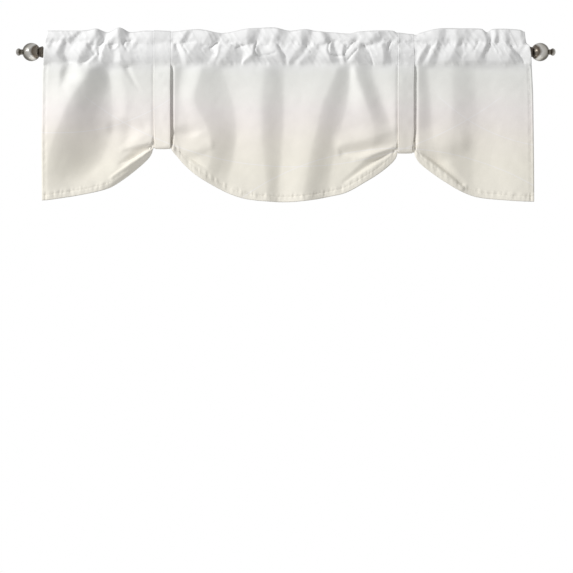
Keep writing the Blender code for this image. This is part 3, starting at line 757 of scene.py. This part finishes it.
# ---- materials
class Graph:
    """The nodes of a material or of the world. A keyword names an input, with _ for a space."""

    def __init__(self, owner, shader):
        owner.use_nodes = True
        self.nodes = owner.node_tree.nodes
        self.links = owner.node_tree.links
        self.shader = self.nodes[shader]

    def fill(self, socket, value):
        """Link a socket to another node's output, or set its value."""
        if isinstance(value, bpy.types.NodeSocket):
            self.links.new(value, socket)
        else:
            socket.default_value = value

    def shade(self, **inputs):
        for name, value in inputs.items():
            self.fill(self.shader.inputs[name.replace("_", " ")], value)

    def node(self, kind, output, **inputs):
        """The output of a new node."""
        node = self.nodes.new("ShaderNode" + kind)
        for name, value in inputs.items():
            self.fill(node.inputs[name.replace("_", " ")], value)
        return node.outputs[output]

    def axes(self, coords):
        """The X and Z of the coordinates."""
        split = self.nodes.new("ShaderNodeSeparateXYZ")
        self.fill(split.inputs["Vector"], coords)
        return split.outputs["X"], split.outputs["Z"]

    def math(self, operation, *values):
        node = self.nodes.new("ShaderNodeMath")
        node.operation = operation
        for socket, value in zip(node.inputs, values):
            self.fill(socket, value)
        return node.outputs["Value"]

    def noise(self, coords, scale, detail):
        return self.node("TexNoise", "Fac", Vector=coords, Scale=scale, Detail=detail)

    def uneven(self, coords, low, high, scale):
        """A value that wavers between low and high."""
        wavering = self.noise(coords, scale, detail=3.0)
        return self.node("MapRange", "Result", Value=wavering, To_Min=low, To_Max=high)

    def ramp(self, place, stops):
        """The colour at a place between stops (place, colour)."""
        node = self.nodes.new("ShaderNodeValToRGB")
        elements = node.color_ramp.elements
        while len(elements) < len(stops):
            elements.new(0.5)
        for element, (position, colour) in zip(elements, stops):
            element.position = position
            element.color = (*colour, 1.0)
        self.fill(node.inputs["Fac"], place)
        return node.outputs["Color"]

    def mix(self, share, a, b, blend="MIX"):
        node = self.nodes.new("ShaderNodeMix")
        node.data_type = "RGBA"
        node.blend_type = blend
        sockets = {socket.identifier: socket for socket in (*node.inputs, *node.outputs)}
        for name, value in (("Factor_Float", share), ("A_Color", a), ("B_Color", b)):
            self.fill(sockets[name], value)
        return sockets["Result_Color"]


def new_material(name):
    """A material, its graph and its object coordinates."""
    material = bpy.data.materials.new(name)
    graph = Graph(material, "Principled BSDF")
    return material, graph, graph.node("TexCoord", "Object")


# The cloth's colour against the height in metres
OMBRE_FROM, OMBRE_TO = -0.41, 0.06
OMBRE_DRIFT = 0.05
OMBRE = (
    (0.0, (0.915, 0.877, 0.785)), (0.22, (0.915, 0.877, 0.780)), (0.36, (0.915, 0.870, 0.792)),
    (0.46, (0.912, 0.863, 0.822)), (0.54, (0.910, 0.868, 0.846)), (0.62, (0.908, 0.893, 0.858)),
    (0.74, (0.905, 0.907, 0.872)), (0.82, (0.905, 0.905, 0.900)), (1.0, (0.905, 0.905, 0.905)),
)
# Faint arcs in the lower part of the cloth: centre x and z, and radius, in metres
ARCS = ((-0.62, 0.34, 0.56), (0.02, 0.62, 0.93), (0.30, -0.98, 0.72), (0.76, 0.24, 0.50))
ARC_HALF_WIDTH = 0.0016
ARC_TOP_Z = -0.12
ARC_COLOUR = (0.95, 0.93, 0.94, 1)
ARC_STRENGTH = 0.8
MOTTLE = ((0.3, (0.965, 0.965, 0.965)), (0.7, (1.0, 1.0, 1.0)))
THREADS_PER_METRE = 900.0
SLUBS = 1.5  # the slubs' height, as a share of the weave's
WEAVE_BUMP = 0.0001


def arcs_mask(graph, x, z):
    """The strength of the faint arcs, 0 off them."""
    maths = graph.math
    total = 0.0
    for centre_x, centre_z, radius in ARCS:
        dx = maths("SUBTRACT", x, centre_x)
        dz = maths("SUBTRACT", z, centre_z)
        squares = maths("ADD", maths("MULTIPLY", dx, dx), maths("MULTIPLY", dz, dz))
        miss = maths("ABSOLUTE", maths("SUBTRACT", maths("SQRT", squares), radius))
        inside = maths("SUBTRACT", 1.0, maths("DIVIDE", miss, ARC_HALF_WIDTH))
        total = maths("MAXIMUM", inside, total)
    shown = maths("MULTIPLY", total, maths("LESS_THAN", z, ARC_TOP_Z))
    return maths("MULTIPLY", shown, ARC_STRENGTH)


def weave_relief(graph, coords, x, z):
    """Warp and weft, with slubs."""
    warp, weft = [graph.math("SINE", graph.math("MULTIPLY", axis, 2 * math.pi * THREADS_PER_METRE))
                  for axis in (x, z)]
    slubs = graph.noise(coords, scale=240.0, detail=3.0)
    return graph.math("MULTIPLY_ADD", slubs, SLUBS, graph.math("MULTIPLY", warp, weft))


def cloth_material():
    """A plain weave in an ombre, warmer towards the hem, with faint arcs."""
    material, graph, coords = new_material("cloth")
    x, z = graph.axes(coords)
    drift = graph.noise(coords, scale=5.0, detail=2.0)
    height = graph.node(
        "MapRange", "Result", Value=graph.math("MULTIPLY_ADD", drift, OMBRE_DRIFT, z),
        From_Min=OMBRE_FROM + OMBRE_DRIFT / 2, From_Max=OMBRE_TO + OMBRE_DRIFT / 2)
    lined = graph.mix(arcs_mask(graph, x, z), graph.ramp(height, OMBRE), ARC_COLOUR)
    mottle = graph.ramp(graph.noise(coords, scale=38.0, detail=5.0), MOTTLE)
    relief = weave_relief(graph, coords, x, z)
    graph.shade(
        Base_Color=graph.mix(1.0, lined, mottle, "MULTIPLY"),
        Normal=graph.node("Bump", "Normal", Strength=0.35, Distance=WEAVE_BUMP, Height=relief),
        Roughness=graph.uneven(coords, low=0.62, high=0.78, scale=60.0),
        Specular_IOR_Level=0.25, Sheen_Weight=0.06, Sheen_Roughness=0.5)
    return material


# Painted reflections on the metal: a bright painted highlight band and dark painted reflection
# bands, against the distance from the rod's middle, in metres
REFLECTION_FROM, REFLECTION_TO = 0.66, 0.74
REFLECTION_WANDER = 0.008
REFLECTION_BEND = 36.0  # the painted reflection bands bend round the ball above and below its middle
METAL_PAINTED_REFLECTIONS = (
    (0.0, (0.30, 0.27, 0.23)), (0.12, (0.12, 0.10, 0.08)), (0.22, (0.36, 0.32, 0.27)),
    (0.34, (0.20, 0.16, 0.12)), (0.44, (1.0, 0.98, 0.93)), (0.56, (0.80, 0.77, 0.70)),
    (0.66, (0.30, 0.28, 0.24)), (0.78, (0.16, 0.14, 0.11)), (0.90, (0.95, 0.92, 0.86)),
)
METAL_BUMP = 0.0002


def metal_material():
    """Polished pewter with painted reflections: a painted highlight band, brightest on the outer
    half of a finial's ball, and painted dark reflection bands towards its neck.
    """
    material, graph, coords = new_material("metal")
    x, z = graph.axes(coords)
    outwards = graph.math("ABSOLUTE", x)
    bent = graph.math("MULTIPLY_ADD", graph.math("MULTIPLY", z, z), REFLECTION_BEND, outwards)
    wander = graph.noise(coords, scale=90.0, detail=2.0)
    place = graph.node(
        "MapRange", "Result", Value=graph.math("MULTIPLY_ADD", wander, REFLECTION_WANDER, bent),
        From_Min=REFLECTION_FROM, From_Max=REFLECTION_TO)
    grain = graph.noise(coords, scale=420.0, detail=2.0)
    graph.shade(
        # the base colour carries the painted highlight band and the painted dark reflection bands
        Base_Color=graph.ramp(place, METAL_PAINTED_REFLECTIONS),
        Normal=graph.node("Bump", "Normal", Strength=0.2, Distance=METAL_BUMP, Height=grain),
        Roughness=graph.uneven(coords, low=0.11, high=0.21, scale=140.0),
        Metallic=1.0)
    return material


# ---- pieces
def make_cloth(material):
    mesh = rows_mesh("valance_cloth", sheet_rows())
    piece = add_piece("valance_cloth", mesh, material)
    solidify(piece, CLOTH_THICK)
    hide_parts("valance")


def unit(vectors):
    return vectors / np.linalg.norm(vectors, axis=1, keepdims=True)


def way_along(points):
    """The way from the first point to each, along the line."""
    return np.concatenate([[0.0], np.cumsum(np.linalg.norm(np.diff(points, axis=0), axis=1))])


def offset_outwards(points, distance):
    before = np.vstack([points[:1], points[:-1]])
    after = np.vstack([points[1:], points[-1:]])
    run = unit(after - before)
    return points + distance[:, None] * np.stack([-run[:, 1], run[:, 0]], axis=1)


def rows_under_straps():
    """The cloth's rows that a strap lies on, from the pocket's stitch line over to the back."""
    rows = heading_front()
    rows += [header_row(z, 1) for z in steps(HEADER_TOP_Z, SEAM_Z, BACK_ROWS)]
    pocket = (SEAM_Z, *steps(SEAM_Z, STRAP_PARTS_Z, BACK_ROWS))
    return rows + [pocket_row(z, 1, POCKET_BACK) for z in pocket]


def turn_height(strap):
    """Where a strap's loop starts to turn under the hem."""
    return strap.bottom_z + STRAP_THICK / 2 + STRAP_TURN


def strap_front(strap, share, rows):
    """A strap's path up the cloth in the YZ plane and over the header, at a share of its width."""
    x = mix(strap.x_left, strap.x_right, share)
    z = np.linspace(turn_height(strap), STITCH_Z, STRAP_BODY_STEPS, endpoint=False)
    y = body_plane_y(z) - body_fold_out(np.full_like(z, x), z) + STRAP_DIP
    heading = [[np.interp(x, row[:, 0], row[:, axis]) for axis in (1, 2)] for row in rows]
    path = np.vstack([np.stack([y, z], axis=-1), heading])
    lift = np.full(len(path), STRAP_REST_HEAD)
    full_lift = mix(STRAP_REST, strap.lift, share)
    lift[:len(z)] = mix(STRAP_REST_HEAD, full_lift, ease((STITCH_Z - z) / STRAP_LIFT_REACH))
    return offset_outwards(path, lift + (CLOTH_THICK + STRAP_THICK) / 2)


def strap_loop(strap, share, rows):
    """A strap's whole loop: up the front, over, down behind and round under the hem."""
    front = strap_front(strap, share, rows)
    turn_z = turn_height(strap)
    back = np.linspace(front[-1], (STRAP_BACK_Y, turn_z), STRAP_BACK_STEPS)[1:]
    angles = np.linspace(0.0, np.pi, STRAP_TURN_STEPS)[1:-1]
    centre, half = (STRAP_BACK_Y + front[0, 0]) / 2, (STRAP_BACK_Y - front[0, 0]) / 2
    turn = np.stack([centre + half * np.cos(angles), turn_z - STRAP_TURN * np.sin(angles)], axis=-1)
    return np.vstack([front, back, turn])


def strap_face(share, width):
    """How far a strap's face stands out across its width: rolled edges and two stitch lines."""
    to_edge = np.minimum(share, 1.0 - share) * width
    rolled = STRAP_ROLL * np.clip(1.0 - to_edge / STRAP_ROLL_WIDTH, 0.0, 1.0) ** 2
    stitched = STRAP_SEAM_DEPTH * bell(to_edge - STRAP_SEAM, STRAP_SEAM_WIDTH)
    return -rolled - stitched


def strap_rows(strap, loops, middle, run, share):
    """A strap's rows round its loop, each across its width."""
    width = strap.x_right - strap.x_left
    rows = []
    for k, way in enumerate(way_along(middle)):
        out = strap_face(share, width) + ripple(STRAP_WAVE, share * width, way)
        draw = 1.0 - ease((middle[k, 1] - strap.bottom_z) / STRAP_DRAW_HEIGHT)
        left, right = strap.x_left + draw * strap.draw_left, strap.x_right - draw * strap.draw_right
        x = mix(left, right, share) + ripple(STRAP_SWAY, way, 0.0)
        y, z = loops[:, k, 0] - run[k, 1] * out, loops[:, k, 1] + run[k, 0] * out
        rows.append(np.stack([x, y, z], axis=-1))
    return rows


def strap_stitches(rows, run, across, at):
    """A stitch line round a strap's loop, at a distance across it."""
    line = np.array([[np.interp(at, across, row[:, axis]) for axis in range(3)] for row in rows])
    normals = np.stack([np.zeros(len(run)), -run[:, 1], run[:, 0]], axis=-1)
    return line + normals * (STRAP_THICK / 2 + THREAD_PROUD), normals


def make_strap(strap, rows_under, material):
    share = np.linspace(0.0, 1.0, STRAP_COLUMNS)
    loops = np.array([strap_loop(strap, each, rows_under) for each in share])
    middle = (loops[0] + loops[-1]) / 2
    run = unit(np.roll(middle, -1, axis=0) - np.roll(middle, 1, axis=0))
    rows = strap_rows(strap, loops, middle, run, share)
    width = strap.x_right - strap.x_left
    seams = (STRAP_SEAM, width - STRAP_SEAM)
    lines = [strap_stitches(rows, run, share * width, at) for at in seams]
    name = strap.name + "_stitches"
    add_piece(name, stitches_mesh(name, lines), material)
    mesh = rows_mesh(strap.name, rows, closed=True)
    piece = add_piece(strap.name + "_band", mesh, material)
    solidify(piece, STRAP_THICK)
    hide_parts(strap.name)


# ---- stitches, mm
STITCH_PITCH = 3.6
STITCH_LENGTH = 2.7
STITCH_RADIUS = 0.28
STITCH_SIDES = 5
STITCH_RINGS = ((-0.5, 0.45), (-0.25, 1.0), (0.25, 1.0), (0.5, 0.45))  # along, radius
THREAD_PROUD = 0.12  # a thread's middle stands this far off the cloth's face
STITCH_PROUD = CLOTH_THICK / 2 + THREAD_PROUD


def stitch_frames(points, normals):
    """Places, runs and normals of even stitches along a line of points."""
    along = way_along(points)
    places = np.arange(STITCH_PITCH, along[-1] - STITCH_PITCH, STITCH_PITCH)

    def line_at(places, values):
        return np.stack([np.interp(places, along, values[:, axis]) for axis in range(3)], axis=-1)

    half = STITCH_LENGTH / 2
    run = unit(line_at(places + half, points) - line_at(places - half, points))
    normal = line_at(places, normals)
    normal = unit(normal - run * (normal * run).sum(axis=1, keepdims=True))
    return line_at(places, points), run, normal


def thread_faces(first):
    """A thread's faces, given the number of its first point: its sides and two ends."""
    faces = []
    for k in range(len(STITCH_RINGS) - 1):
        low = first + k * STITCH_SIDES
        high = low + STITCH_SIDES
        for s in range(STITCH_SIDES):
            after = (s + 1) % STITCH_SIDES
            faces.append((low + s, low + after, high + after, high + s))
    last = first + (len(STITCH_RINGS) - 1) * STITCH_SIDES
    faces.append(tuple(range(first + STITCH_SIDES - 1, first - 1, -1)))
    faces.append(tuple(range(last, last + STITCH_SIDES)))
    return faces


def stitches_mesh(name, lines):
    """One mesh of small tapered threads along lines of (points, normals), in millimetres."""
    angles = 2 * np.pi * np.arange(STITCH_SIDES) / STITCH_SIDES
    points, faces = [], []
    for line_points, line_normals in lines:
        for centre, run, normal in zip(*stitch_frames(line_points, line_normals)):
            faces += thread_faces(len(points))
            across = np.cross(run, normal)
            ring = np.outer(np.cos(angles), across) + np.outer(np.sin(angles), normal)
            for along, swell in STITCH_RINGS:
                points += list(centre + along * STITCH_LENGTH * run + swell * STITCH_RADIUS * ring)
    return smooth_mesh(name, np.array(points), faces)


def face_line(row, side, behind=0.0):
    """A stitch line on the front (-1) or back (1) face of the cloth's row."""
    run = np.gradient(row, axis=0)
    normal = unit(np.stack([-run[:, 1] * side, run[:, 0] * side, np.zeros(len(row))], axis=-1))
    return row + np.array([0.0, behind, 0.0]) + normal * STITCH_PROUD, normal


def side_line(rows, side):
    """A stitch line down the cloth's left (0) or right (1) side hem, on its front."""
    places = []
    for row in rows:
        x = row[-1, 0] - SIDE_HEM if side else row[0, 0] + SIDE_HEM
        places.append((x, np.interp(x, row[:, 0], row[:, 1]), np.interp(x, row[:, 0], row[:, 2])))
    normals = np.tile([0.0, -1.0, 0.0], (len(places), 1))
    return np.array(places) + normals * STITCH_PROUD, normals


def make_valance_stitches(material):
    body = [body_row(up, None) for up in HEM_FRONT_ROWS[1:]]
    body += [body_row(0.0, share) for share in steps(0.0, 1.0, BODY_ROWS)]
    hem = body_row(HEM_STITCH, None)
    lines = [
        face_line(hem, -1),
        face_line(hem, 1, HEM_LAYER + CLOTH_THICK),
        face_line(seam_row(-1), -1),
        face_line(seam_row(1), 1),
        face_line(pocket_row(STITCH_Z, -1, POCKET_FRONT), -1),
        side_line(body, 0),
        side_line(body, 1),
    ]
    add_piece("valance_stitches", stitches_mesh("valance_stitches", lines), material)


# ---- camera, light and floor, metres
FRAME_WIDTH = 1.547  # the picture's width at the valance
CAMERA_DISTANCE = 7.0
CAMERA_X = 0.002
CAMERA_Z = -0.633
SENSOR_WIDTH = 36.0  # millimetres
KEY_PLACE = (-7.4, -4.4, 3.4)
KEY_TARGET = (0.0, 0.0, -0.2)
KEY_SIZE = 1.4
KEY_WATTS = 640.0
WORLD_LIGHT = 0.46  # the white surroundings' strength as light
WORLD_SHOWN = 1.0  # and as seen by the camera
FLOOR_RADIUS = 1.4
FLOOR_SIDES = 96
FLOOR_PLACE = (0.0, -0.3, -1.62)
FLOOR_TONES = ((0.3, (0.88, 0.88, 0.875)), (0.7, (0.92, 0.92, 0.915)))


def make_camera():
    camera = bpy.data.cameras.new("camera")
    camera.sensor_width = SENSOR_WIDTH
    camera.lens = SENSOR_WIDTH * CAMERA_DISTANCE / FRAME_WIDTH
    item = link(bpy.data.objects.new("camera", camera))
    item.location = (CAMERA_X, -CAMERA_DISTANCE, CAMERA_Z)
    item.rotation_euler = (math.pi / 2, 0.0, 0.0)
    bpy.context.scene.camera = item


def make_key_light():
    light = bpy.data.lights.new("key", "AREA")
    light.size = KEY_SIZE
    light.energy = KEY_WATTS
    item = link(bpy.data.objects.new("key", light))
    item.location = KEY_PLACE
    aim = Vector(KEY_TARGET) - Vector(KEY_PLACE)
    item.rotation_euler = aim.to_track_quat("-Z", "Y").to_euler()


def make_world():
    world = bpy.data.worlds.new("studio")
    bpy.context.scene.world = world
    graph = Graph(world, "Background")
    seen = graph.node("LightPath", "Is Camera Ray")
    strength = graph.node("MapRange", "Result", Value=seen, To_Min=WORLD_LIGHT, To_Max=WORLD_SHOWN)
    graph.shade(Color=(1.0, 1.0, 1.0, 1.0), Strength=strength)


def make_floor():
    bpy.ops.mesh.primitive_circle_add(
        vertices=FLOOR_SIDES, radius=FLOOR_RADIUS, fill_type="NGON", location=FLOOR_PLACE)
    floor = bpy.context.active_object
    floor.name = "floor"
    material, graph, coords = new_material("floor")
    tone = graph.ramp(graph.noise(coords, scale=3.0, detail=4.0), FLOOR_TONES)
    graph.shade(Base_Color=tone, Roughness=0.8)
    floor.data.materials.append(material)


def main():
    cloth = cloth_material()
    make_cloth(cloth)
    make_valance_stitches(cloth)
    rows_under = rows_under_straps()
    for strap in STRAPS:
        make_strap(strap, rows_under, cloth)
    metal = metal_material()
    for name in ("rod", "finial_left", "finial_right"):
        node = bpy.data.objects[name]
        node.data.materials.clear()
        node.data.materials.append(metal)
    make_camera()
    make_world()
    make_key_light()
    make_floor()
    bpy.context.scene.view_settings.view_transform = "Standard"


main()
